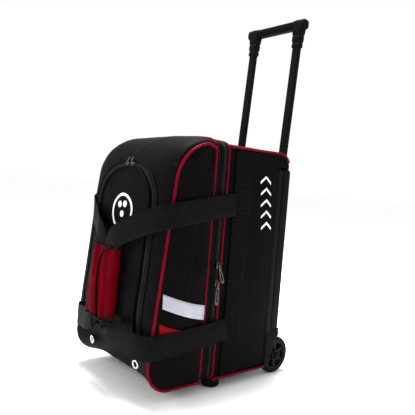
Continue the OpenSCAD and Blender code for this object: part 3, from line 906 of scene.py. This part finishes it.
def pull_part(pin, axes, length, thick=1.7, scale=1.0):
    """A tapered pull with a long slot. axes are across, down and out."""
    body = [(-3.6, 0.3), (-2.6, 2.2), (0, 3.2), (3.5, 2.6), (7, 2.3), (11, 3.6),
            (length - 12, 4.9), (length - 4, 4.3), (length - 1.2, 2.6), (length, 0.5)]
    slot = [(13, 0.3), (15, 1.4), (length - 9, 1.9), (length - 7, 0.3)]
    half = thick / 2
    outer = pull_outline(body, -3.6, length, 0)
    inner = pull_outline(slot, 13, length - 7, 0)
    thin = pull_outline(body, -3.2, length - 0.5, -0.25)
    wide = pull_outline(slot, 12.6, length - 6.6, 0.4)
    rows = []
    for line, h in ((outer, 0), (thin, half), (wide, half), (inner, 0), (wide, -half),
                    (thin, -half), (outer, 0)):
        rows.append([np.asarray(pin) + (axes[0] * a + axes[1] * d + axes[2] * h) * scale
                     for a, d in line])
    return grid(rows, wrap=True)


def main_zip(word, z, length, lean):
    out, along, down = np.array([1.0, 0, 0]), np.array([0, 1.0, 0]), np.array([0, 0, -1.0])
    parts = [rounded_body((152, SEAM_Y, z), (2.6, 4.8, 8.5), (out, along, down), 3.6)]
    bridge = [(153, SEAM_Y, z + 6.5), (156.6, SEAM_Y, z + 5), (158.2, SEAM_Y, z + 1.5),
              (158.2, SEAM_Y, z - 1.5), (156.6, SEAM_Y, z - 5), (153, SEAM_Y, z - 6.5)]
    parts.append(tube(smooth_line(bridge, 24), 1.3, 8))
    piece(word + "_slider_body", parts, PULL, word + "_runner",
          [word + "_zip_slider"])
    turn = math.radians(lean)
    across = np.array([0, math.cos(turn), math.sin(turn)])
    hang = np.array([0, math.sin(turn), -math.cos(turn)])
    tab = pull_part((157, SEAM_Y, z), (across, hang, out), length)
    piece(word + "_pull_tab", [tab], PULL, word + "_tab", [word + "_zip_pull"])


def pocket_zip(side, word):
    """A small slider with its flat pull, at the top of the pocket's arch."""
    s = length_at(ZIP_TOP)
    here = front_point(side * 11, s, 2.2)
    along = unit(front_point(side * 11 + 4, s, 2.2) - front_point(side * 11 - 4, s, 2.2))
    up = unit(front_point(side * 11, s + 5, 2.2) - here)
    out = unit(np.cross(along, up))
    out = out if out[1] < 0 else -out
    parts = [rounded_body(here, (5.4, 3.4, 1.9), (along, up, out), 3.0)]
    bridge = [here + along * a + out * h for a, h in ((-4.4, 1), (-3, 4), (0, 5), (3, 4), (4.4, 1))]
    parts.append(tube(smooth_line(bridge, 16), 0.9, 8))
    hang = unit(along * side * -0.35 + up * 0.9)
    across = unit(np.cross(out, hang))
    parts.append(pull_part(here + out * 4.6, (across, hang, out), 26, 1.6, 0.62))
    return piece(word + "_pocket_pull", parts, PULL, word + "_pocket_runner",
                 [word + "_pocket_slider"])


main_zip("upper", 276, 42, 20)
main_zip("lower", 238, 48, 0)
pocket_pulls = [pocket_zip(1, "right"), pocket_zip(-1, "left")]


# ---- soft pads ----

def cushion(name, low, high, body, nodes, material, crown=3.0, radius=8.0):
    """A foam block with rounded edges and slightly crowned faces."""
    low, high = np.array(low, float), np.array(high, float)
    centre, half = (low + high) / 2, (high - low) / 2
    bm = bmesh.new()
    bmesh.ops.create_cube(bm, size=2)
    bmesh.ops.subdivide_edges(bm, edges=bm.edges, cuts=11, use_grid_fill=True)
    points = []
    for v in bm.verts:
        q = np.array(v.co)
        inner = np.maximum(half - radius, half * 0.2)
        p = q * half
        core = np.clip(p, -inner, inner)
        gap = p - core
        size = np.linalg.norm(gap)
        reach = np.minimum(radius, half.min())
        if size > 1e-6:
            p = core + gap / size * min(reach, size) if np.count_nonzero(np.abs(gap) > 1e-6) > 1 else p
        flat = np.argmax(np.abs(q))
        others = [k for k in range(3) if k != flat]
        swell = crown * (1 - q[others[0]] ** 2) * (1 - q[others[1]] ** 2)
        p[flat] -= np.sign(q[flat]) * (crown - swell)
        points.append(p + centre)
    faces = [[v.index for v in f.verts] for f in bm.faces]
    bm.free()
    uv = [(p[0] * MM, p[2] * MM) for p in points]
    return piece(name, [(points, faces, uv)], material, body, nodes)


def from_node(name):
    low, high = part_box(name)
    return [c / MM for c in low], [c / MM for c in high]


def make_pads():
    for name, crown in (("lower_ball_pad", 2.0), ("ball_divider", 3.0)):
        low, high = from_node(name)
        cushion(name + "_foam", low, high, "shell", [name], LINING, crown)
    low, high = from_node("lid_divider")
    wall = cushion("lid_divider_foam", low, high, "lid", ["lid_divider"], LINING, 1.0, 2.4)
    low, high = from_node("ball_bolsters")
    width, tall = 34.0, 214
    for side, word in SIDES:
        x0 = high[0] - width if side > 0 else low[0]
        for z0, level in ((low[2], "lower"), (high[2] - tall, "upper")):
            nodes = ["ball_bolsters"] if (side, level) == (1, "lower") else []
            foam = cushion(word + "_" + level + "_bolster_foam", (x0, low[1], z0),
                           (x0 + width, high[1], z0 + tall), "shell", nodes, LINING,
                           4.0, 10.0)
    return wall


lid_pieces.append(make_pads())
lid_pieces += pocket_pulls


# ---- shell ----

SHOULDER_Y, SHOULDER_Z = 150, 499
WEB_Y, WEB_W = -2, 50


def shell_side_x(y, z):
    """How far a shell side stands out at a place."""
    a = min(abs((y - 36) / 82), 1)
    b = min(abs((z - 278) / 252), 1)
    puff = 4.5 * (1 - a ** 3) * (1 - b ** 6)
    soft = 1.6 * wave((0, y, z), 85, 9.1) * (1 - a ** 4) * (1 - b ** 6)
    return HALF_W - 1 + puff + soft


def shell_side_part(side):
    zs = np.concatenate([np.linspace(BASE_Z, SHOULDER_Z, 44), np.linspace(SHOULDER_Z, TOP_Z, 9)[1:]])
    ys = np.linspace(SHELL_FRONT, SHELL_REAR, 22)
    rows = [[(side * shell_side_x(y, z), y, z) for y in ys] for z in zs]
    main = grid(rows, uv=[[(y * MM, z * MM) for y in ys] for z in zs])
    rows = []
    for z in zs[43:]:
        reach = (SHOULDER_Y - SHELL_REAR) * math.sqrt(max(0, 1 - ((z - SHOULDER_Z) / 31) ** 2))
        rows.append([(side * shell_side_x(SHELL_REAR, z), SHELL_REAR + reach * f, z)
                     for f in np.linspace(0, 1, 7)])
    return [main, grid(rows)]


def top_line():
    """Profile of the shell's top in (y, z), front to rear and down over the shoulder."""
    line = [(y, TOP_Z) for y in np.linspace(SHELL_FRONT, SHELL_REAR, 16)]
    for a in np.linspace(0, math.pi / 2, 9)[1:]:
        line.append((SHELL_REAR + 32 * math.sin(a), SHOULDER_Z + 31 * math.cos(a)))
    line.append((SHOULDER_Y - 2, SHOULDER_Z - 6))
    return line


def top_cover():
    rows, uv = [], []
    run = lengths(np.array(top_line()))
    for (y, z), s in zip(top_line(), run):
        row = []
        out = max(0, min(1, (y - SHELL_REAR) / 32))
        for x in np.linspace(-HALF_W, HALF_W, 33):
            rise = 13 * (1 - (abs(x) / HALF_W) ** 4) * (1 - 0.3 * max(0, (y + 46) / 164))
            soft = 1.5 * wave((x, y, 0), 70, 4.2) * (1 - (abs(x) / HALF_W) ** 4)
            lift = rise + soft
            row.append((x, y + 0.6 * lift * out, z + lift * (1 - 0.7 * out)))
        rows.append(row)
        uv.append([(x * MM, s * MM) for x in np.linspace(-HALF_W, HALF_W, 33)])
    return grid(rows, uv=uv)


def make_shell_covers():
    for side, word in SIDES:
        cover = piece(word + "_shell_side_cover", shell_side_part(side), SIDE_NYLON_PAINTED_SHADE, "shell",
                      [word + "_shell_side"], weld=0.05)
        thicken(cover, 4.0)
    top = piece("shell_top_cover", [top_cover()], NYLON, "shell", ["top_panel"])
    thicken(top, 4.0)
    rows = [[(x, SHELL_REAR - 1 + 2 * math.cos(x / 96), z) for x in np.linspace(-HALF_W, HALF_W, 21)]
            for z in np.linspace(BASE_Z, SHOULDER_Z, 31)]
    back = piece("shell_back_cover", [grid(rows)], NYLON, "shell", ["back_panel"])
    thicken(back, 4.0)
    rows = [[(x, y, BASE_Z - 1.5 * math.cos(x / 96)) for x in np.linspace(-HALF_W, HALF_W, 21)]
            for y in np.linspace(SHELL_FRONT, SHELL_REAR, 13)]
    base = piece("shell_base_cover", [grid(rows)], NYLON, "shell", ["base_panel"])
    thicken(base, 4.0)


def make_shell_piping():
    ring = seam_ring(SHELL_FRONT)
    first = piece("shell_front_piping", [tube(ring, SHELL_PIPING_R, closed=True)], PIPING, "shell")
    for side, word in SIDES:
        top = [(side * (HALF_W + 0.5), y, z) for y, z in top_line()[:-3]]
        low = [(side * (HALF_W + 0.5), y, BASE_Z) for y in np.linspace(SHELL_FRONT, SHELL_REAR, 12)]
        parts = [tube(smooth_line(top, 60), SHELL_PIPING_R), tube(low, SHELL_PIPING_R)]
        piece(word + "_shell_edge_piping", parts, PIPING, "shell",
              [word + "_shell_piping"])
    return first


def make_side_webbing():
    for side, word in SIDES:
        zs = np.linspace(BASE_Z + 3, TOP_Z - 3, 80)
        path = [(side * (shell_side_x(WEB_Y, z) + 1.5), WEB_Y, z) for z in zs]
        across = np.tile([0.0, 1.0, 0.0], (len(zs), 1))
        piece(word + "_side_webbing_strip", [strip(path, across, WEB_W, 2)], WEBBING, "shell",
              [word + "_side_webbing"])


def chevron(side, y0, z0, half, rise, stroke):
    """One lane-arrow mark on a shell side."""
    parts = []
    for way in (-1, 1):
        rows = []
        for f in np.linspace(0, 1, 8):
            y = y0 + way * half * (1 - f)
            z = z0 + rise * f
            rows.append([(side * (shell_side_x(y, z + k) + 0.8), y, z + k) for k in (0, stroke / 2, stroke)])
        parts.append(grid(rows))
    return parts


def make_marks():
    parts = []
    for i in range(5):
        z = 352 + i * 26
        y = 85 - (z - 344) * 0.13
        for side in (1, -1):
            parts += chevron(side, y, z, 17, 13, 6)
    marks = piece("shell_side_marks", parts, PRINT, "shell")
    thicken(marks, 0.4, 1)


make_shell_covers()
make_shell_piping()
make_side_webbing()
make_marks()


# ---- back tray ----

def tray_outline():
    """The tray's outline in (x, z) with its two lower corners cut away for the wheels."""
    notch, half, foot, step, top = 109, 148, 52, 101, 497
    corners = [(-notch, foot), (notch, foot), (notch, step), (half, step), (half, top),
               (-half, top), (-half, step), (-notch, step)]
    radius = [6, 6, 4, 8, 12, 12, 8, 4]
    line = []
    count = len(corners)
    for i, (c, r) in enumerate(zip(corners, radius)):
        a = unit(np.array(corners[i - 1]) - c)
        b = unit(np.array(corners[(i + 1) % count]) - c)
        start, end = np.array(c) + a * r, np.array(c) + b * r
        for t in np.linspace(0, 1, 6):
            line.append((1 - t) ** 2 * start + 2 * t * (1 - t) * np.array(c) + t * t * end)
    return np.array(line)


def inset(line, amount):
    along = tangents(line, closed=True)
    out = np.stack([along[:, 1], -along[:, 0]], axis=1)
    return line - out * amount


def tray_walls():
    outline = tray_outline()
    steps = [(117, -1.5), (130, -1.5), (132, -0.5), (132.5, 2.0), (135, 2.2), (136, 0.2),
             (138, 0), (156, 0.4), (160, 1.4), (162.2, 3.6), (163, 7)]
    rows = []
    for y, amount in steps:
        ring = inset(outline, amount)
        rows.append([(x, y, z) for x, z in ring])
    walls = grid(rows, wrap=True)
    face = [(x, 163, z) for x, z in inset(outline, 7)]
    return [walls, (face, [list(range(len(face)))], [(x * MM, z * MM) for x, _, z in face])]


def trough_depth(x, z):
    """How far the trough stands behind the tray at a place, with moulded skid rails."""
    base = 27 + 29 * (z - 54) / 439
    rails = 0.0
    for rail in (-66, -33, 0, 33, 66):
        rails += 2.2 * math.exp(-((x - rail) / 5.5) ** 4) * min(1, max(0, (z - 80) / 10)) \
            * min(1, max(0, (470 - z) / 10))
    return base - 2.2 + rails


def rounded_sheet(half, low, high, radius, xs, zs):
    """Share of full depth at each place of a sheet with rounded, drafted edges."""
    out = np.zeros((len(zs), len(xs)))
    for i, z in enumerate(zs):
        for j, x in enumerate(xs):
            gap_x = max(abs(x) - (half - radius), 0)
            gap_z = max(low + radius - z, z - (high - radius), 0)
            d = min(math.hypot(gap_x, gap_z) / radius, 1)
            out[i, j] = math.sqrt(max(0, 1 - d ** 2.5))
    return out


def trough_part():
    def spread(low, high, radius, count):
        edge = radius * np.array([0, 0.01, 0.04, 0.1, 0.2, 0.35, 0.6, 1.0])
        return np.concatenate([low + edge, np.linspace(low + radius, high - radius, count)[1:-1],
                               high - edge[::-1]])
    xs = spread(-103, 103, 12, 60)
    zs = spread(54, 493, 12, 40)
    share = rounded_sheet(103, 54, 493, 12, xs, zs)
    rows = [[(x, 161 + share[i, j] * (2 + trough_depth(x, z)), z) for j, x in enumerate(xs)]
            for i, z in enumerate(zs)]
    return grid(rows)


def make_tray():
    tray = piece("back_tray_moulding", tray_walls() + [trough_part()], PLASTIC, "shell",
                 ["back_tray"], weld=0.001)
    edges = tray.modifiers.new("edges", "EDGE_SPLIT")
    edges.split_angle = math.radians(40)
    bake_modifiers(tray)


make_tray()


# ---- wheel housings ----

def housing_parts(side):
    """Outer fender flush with the tray, roof and inner wall of one wheel housing."""
    fender = []
    for z in np.linspace(BASE_Z, 112, 30):
        rear = np.interp(z, [26, 35, 86, 93, 101], [127, 131, 154, 161, 163])
        step = 1 / (1 + math.exp((z - 101) / 2.5))
        fender.append([(side * (148.2 + 2.4 * step), y, z) for y in np.linspace(118.5, rear, 10)])
    roof = [[(side * x, y, 99) for y in np.linspace(118.5, 163, 8)] for x in (113, 125, 137, 149.5)]
    wall = [[(side * 113, y, z) for y in np.linspace(118.5, 170, 8)] for z in (30, 50, 75, 99)]
    return [grid(fender), grid(roof), grid(wall)]


def make_housings():
    for side, word in SIDES:
        obj = piece(word + "_wheel_well", housing_parts(side), PLASTIC, "shell",
                    [word + "_wheel_housing"])
        thicken(obj, 2.4)
        bake_modifiers(obj)


make_housings()


# ---- wheels ----

WHEEL_X, WHEEL_Y, WHEEL_R = 135, SEAM_Y + 218.7, 44


def tyre_profile():
    half, rim, top = 11, 34, WHEEL_R
    line = [(-half, rim), (-half, rim + 4), (-half + 0.6, top - 4), (-half + 2.2, top - 1.6),
            (-half + 4.4, top - 0.5)]
    for groove in (-3.2, 3.2):
        line += [(groove - 1.0, top - 0.05), (groove - 0.8, top - 1.4), (groove + 0.8, top - 1.4),
                 (groove + 1.0, top - 0.05)]
    line += [(half - 4.4, top - 0.5), (half - 2.2, top - 1.6), (half - 0.6, top - 4),
             (half, rim + 4), (half, rim)]
    return line


def make_tyres():
    for side, word in SIDES:
        part = lathe(tyre_profile(), (side * WHEEL_X, WHEEL_Y, WHEEL_R))
        piece(word + "_tyre_tread", [part], TYRE, word + "_wheel", [word + "_tyre"])


make_tyres()


# ---- pull handle ----

TUBE_FOOT = np.array([0, 174, 60])
GRIP_Z = 810


def tilted(x, y, z):
    """A place given along the tilted tubes, in the bag's frame."""
    c, s = math.cos(TUBE_TILT), math.sin(TUBE_TILT)
    return TUBE_FOOT + (x, y * c + z * s, z * c - y * s)


def grip_bar(x0, x1, half, ribs):
    rows = []
    for x in np.linspace(x0, x1, 60 if ribs else 24):
        end = min(x - x0, x1 - x)
        size = half * (1 - 0.16 * max(0, 1 - end / 3) ** 2)
        size -= 0.35 * (0.5 + 0.5 * math.cos(x / 1.1)) if ribs else 0
        rows.append([tilted(x, a, GRIP_Z + b) for a, b in rounded_ring(size, size, 3.2)])
    return capped(rows)


def grip_elbow(side):
    """Moulded corner: a drop over the tube with a notch and a collar."""
    levels = [(752, 12.6, 8.8), (753, 13.6, 9.6), (762, 13.6, 9.6), (763, 12.4, 8.6),
              (766, 12.4, 8.6), (767, 14.2, 10.4), (780, 14.8, 10.8), (781, 13.6, 9.9),
              (784, 13.6, 9.9), (785, 14.9, 11.0), (800, 16.5, 12.0), (812, 17.0, 12.2),
              (819, 15.0, 11.4), (821.5, 11.0, 9.0)]
    rows = []
    for z, half_x, half_y in levels:
        rows.append([tilted(side * TUBE_X + a, b, z) for a, b in rounded_ring(half_x, half_y)])
    inner, outer = side * 60, side * 98
    return [capped(rows), grip_bar(min(inner, outer), max(inner, outer), 12.3, False)]


def make_grip():
    bar = grip_bar(-62, 62, 11.4, True)
    piece("grip_rubber_bar", [bar], GRIP, "pull_handle", ["handle_grip"])
    for side, word in SIDES:
        piece(word + "_grip_elbow", grip_elbow(side), PLASTIC, "pull_handle",
              [word + "_grip_corner"])


make_grip()


# ---- carry handles ----

STRAP_ROUTE = [
    ((153.2, 27, 408), 1), ((153.2, -4, 408), 1), ((155, -30, 406), 1), ((159, -60, 402), 1),
    ((162, -110, 394), 1), ((163, -160, 386), 1), ((161, -190, 380), 1), ((147, -209, 374), 1),
    ((116, -220, 363), 1), ((84, -228, 350), 1), ((52, -234, 336), 1),
    ((24, -239, 318), 0.75), ((15, -238, 290), 0), ((15, -239, 200), 0), ((15, -241, 162), 0),
    ((34, -243, 142), 0.4), ((66, -241, 130), 0.8), ((96, -240, 125), 1), ((134, -237, 122), 1),
    ((160, -225, 121), 1), ((164, -198, 123), 1), ((163, -150, 126), 1), ((162, -100, 129), 1),
    ((158, -50, 132), 1), ((154, -26, 134), 1), ((153.2, -4, 134), 1), ((153.2, 27, 134), 1),
]
# on the left the straps lie closer to the skin
LEFT_HUG = {
    6: (155, -184, 380), 7: (144, -197, 373), 8: (116, -208, 361), 9: (82, -219, 344),
    11: (34, -236, 318), 12: (29, -236, 290), 13: (29, -239, 200), 14: (29, -241, 162),
    17: (96, -234, 125), 18: (130, -228, 122), 19: (152, -214, 121), 20: (157, -192, 123),
}


def softened(rows, passes=60):
    """Rows smoothed along their length, with the ends held."""
    rows = np.array(rows, float)
    for _ in range(passes):
        rows[1:-1] = 0.5 * rows[1:-1] + 0.25 * (rows[:-2] + rows[2:])
    return rows


def evenly(path, count):
    """A line of points, spaced evenly along its length, with any extra columns kept."""
    run = lengths(path[:, :3])
    places = np.linspace(0, run[-1], count)
    return np.stack([np.interp(places, run, path[:, k]) for k in range(path.shape[1])], axis=1)


HANDLE_PIVOT_Y = -18
STRAP_W = 49


def strap_parts(side):
    """One carry strap: the run that swings, and its two ends sewn under the side webbing."""
    stations = [list(p) + [u] for p, u in STRAP_ROUTE]
    if side < 0:
        for place, point in LEFT_HUG.items():
            stations[place][:3] = point
    path = softened(evenly(smooth_line(stations, 500), 300), 24)
    t = np.clip(path[:, 3], 0, 1) * math.pi / 2
    points = path[:, :3] * (side, 1, 1)
    across = softened(np.stack([-side * np.cos(t), np.zeros_like(t), np.sin(t)], axis=1), 30)
    swings = np.flatnonzero(points[:, 1] <= HANDLE_PIVOT_Y + 1)
    first, last = swings[0], swings[-1] + 1
    run = strip(points[first:last], across[first:last], STRAP_W, 2.0)
    ends = [strip(points[:first + 2], across[:first + 2], STRAP_W, 1.9),
            strip(points[last - 2:], across[last - 2:], STRAP_W, 1.9)]
    return run, ends


WRAP_LOW, WRAP_HIGH = 148, 300
WRAP_EDGE_Z = [148, 219, 262, 280, 292, 300]
WRAP_EDGE_X = [-2, -18, -18, -12, 2, 26]


def wrap_frame(z):
    """Centre, half width and half depth of the wrap at a height."""
    f = (WRAP_HIGH - z) / (WRAP_HIGH - WRAP_LOW)
    pinch = 1 - 0.25 * abs(2 * f - 1) ** 5
    return -8 + f, -231 - 10 * f, 48.5 + 6 * f, 9 * pinch


def wrap_fold(x, z):
    """Upright folds of the padded layer."""
    lean = x + 0.12 * (z - 220)
    fold = 2.2 * math.sin(lean / 6.8 + 1.1) + 3.4 * wave((x, 0, z * 0.28), 17, 2.7)
    return min(3.0, fold + 1.2 * wave((x, 0, z), 12, 8.4))


def wrap_row(z, edge_x):
    """One level of the wrap, from its free edge round the straps to the layer below it."""
    cx, cy, half, deep = wrap_frame(z)
    row = []
    turn = 15
    for x in np.linspace(edge_x, cx + half - turn, 26):
        free = min(1, (x - edge_x) / 8) * min(1, (cx + half - turn - x) / 6)
        row.append((x, cy - deep - 2.2 - wrap_fold(x, z) * free, z))
    for a in np.linspace(-90, 90, 18)[1:]:
        r = math.radians(a)
        row.append((cx + half - turn + turn * math.cos(r), cy + (deep + 1.6) * math.sin(r), z))
    for x in np.linspace(cx + half - turn, cx - half + 9, 20)[1:]:
        row.append((x, cy + deep + 1, z))
    for a in np.linspace(90, -90, 14)[1:]:
        r = math.radians(a)
        row.append((cx - half + 9 - 9 * math.cos(r), cy + (deep + 0.4) * math.sin(r), z))
    for x in np.linspace(cx - half + 9, edge_x + 14, 24)[1:]:
        under = min(1, max(0, (edge_x + 6 - x) / 12))
        row.append((x, cy - deep - 0.2 + 4.2 * (1 - under) - 0.7 * wrap_fold(x, z) * under, z))
    return row


def drawn_aside(obj):
    """Gives a handle piece a mesh of its own."""
    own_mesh(obj)


def make_wrap():
    levels = np.concatenate([np.linspace(WRAP_LOW, 290, 34), [293, 296, 298, 299.4, WRAP_HIGH]])
    rows = [wrap_row(z, np.interp(z, WRAP_EDGE_Z, WRAP_EDGE_X)) for z in levels]
    pad = piece("handle_wrap_pad", [grid(rows)], RED, "right_handle",
                ["handle_wrap"])
    thicken(pad, 3.6)
    bake_modifiers(pad)
    free = softened([(x, y - 0.4, z) for x, y, z in [row[0] for row in rows]], 4)
    hems = [tube(free, 3.3, 8, flat=0.8)]
    hems.append(tube(softened(rows[0], 2), 2.8, 8, flat=0.9))
    hems.append(tube(softened(rows[-1], 2), 2.4, 8, flat=0.9))
    binding = piece("wrap_binding", hems, BINDING, "right_handle")
    drawn_aside(pad)
    drawn_aside(binding)


def make_handles():
    for side, word in SIDES:
        run, ends = strap_parts(side)
        strap = piece(word + "_carry_webbing", [run], STRAP, word + "_handle",
                      [word + "_carry_strap"])
        piece(word + "_strap_ends", ends, STRAP, "shell")
        drawn_aside(strap)
    make_wrap()


make_handles()

with_lid(*lid_pieces)


# ---- room, light and camera ----

def make_room():
    bpy.ops.mesh.primitive_plane_add(size=80, location=(0, 0, 0))
    floor = bpy.context.object
    floor.name = "floor"
    floor.data.materials.append(principled("pale_floor", (0.98, 0.98, 0.98), 0.9))
    world = bpy.data.worlds.new("studio")
    world.use_nodes = True
    sky = world.node_tree.nodes["Background"]
    sky.inputs["Color"].default_value = (1, 1, 1, 1)
    sky.inputs["Strength"].default_value = 1.0
    bpy.context.scene.world = world
    bpy.context.scene.view_settings.view_transform = "Standard"


def area_light(name, place, target, size, power):
    data = bpy.data.lights.new(name, "AREA")
    data.shape = "DISK"
    data.size = size
    data.energy = power
    lamp = bpy.data.objects.new(name, data)
    lamp.location = place
    lamp.rotation_euler = (Vector(target) - Vector(place)).to_track_quat("-Z", "Y").to_euler()
    bpy.context.scene.collection.objects.link(lamp)


def make_camera():
    yaw, pitch, roll = math.radians(49.12), math.radians(2.68), math.radians(4.44)
    look = np.array([-math.sin(yaw) * math.cos(pitch), math.cos(yaw) * math.cos(pitch),
                     -math.sin(pitch)])
    right = np.array([math.cos(yaw), math.sin(yaw), 0])
    up = np.cross(right, look)
    right, up = (math.cos(roll) * right + math.sin(roll) * up,
                 -math.sin(roll) * right + math.cos(roll) * up)
    data = bpy.data.cameras.new("camera")
    data.lens = 43.94
    data.sensor_width = 36
    camera = bpy.data.objects.new("camera", data)
    turn = Matrix(np.stack([right, up, -look], axis=1).tolist())
    camera.matrix_world = Matrix.Translation((0.9408, -0.7802, 0.4472)) @ turn.to_4x4()
    bpy.context.scene.collection.objects.link(camera)
    bpy.context.scene.camera = camera


make_room()
area_light("overhead", (-0.4, 0.2, 2.6), (0, 0, 0.3), 1.2, 170)
area_light("front", (-1.2, -2.4, 1.6), (0, 0, 0.3), 0.9, 30)
make_camera()
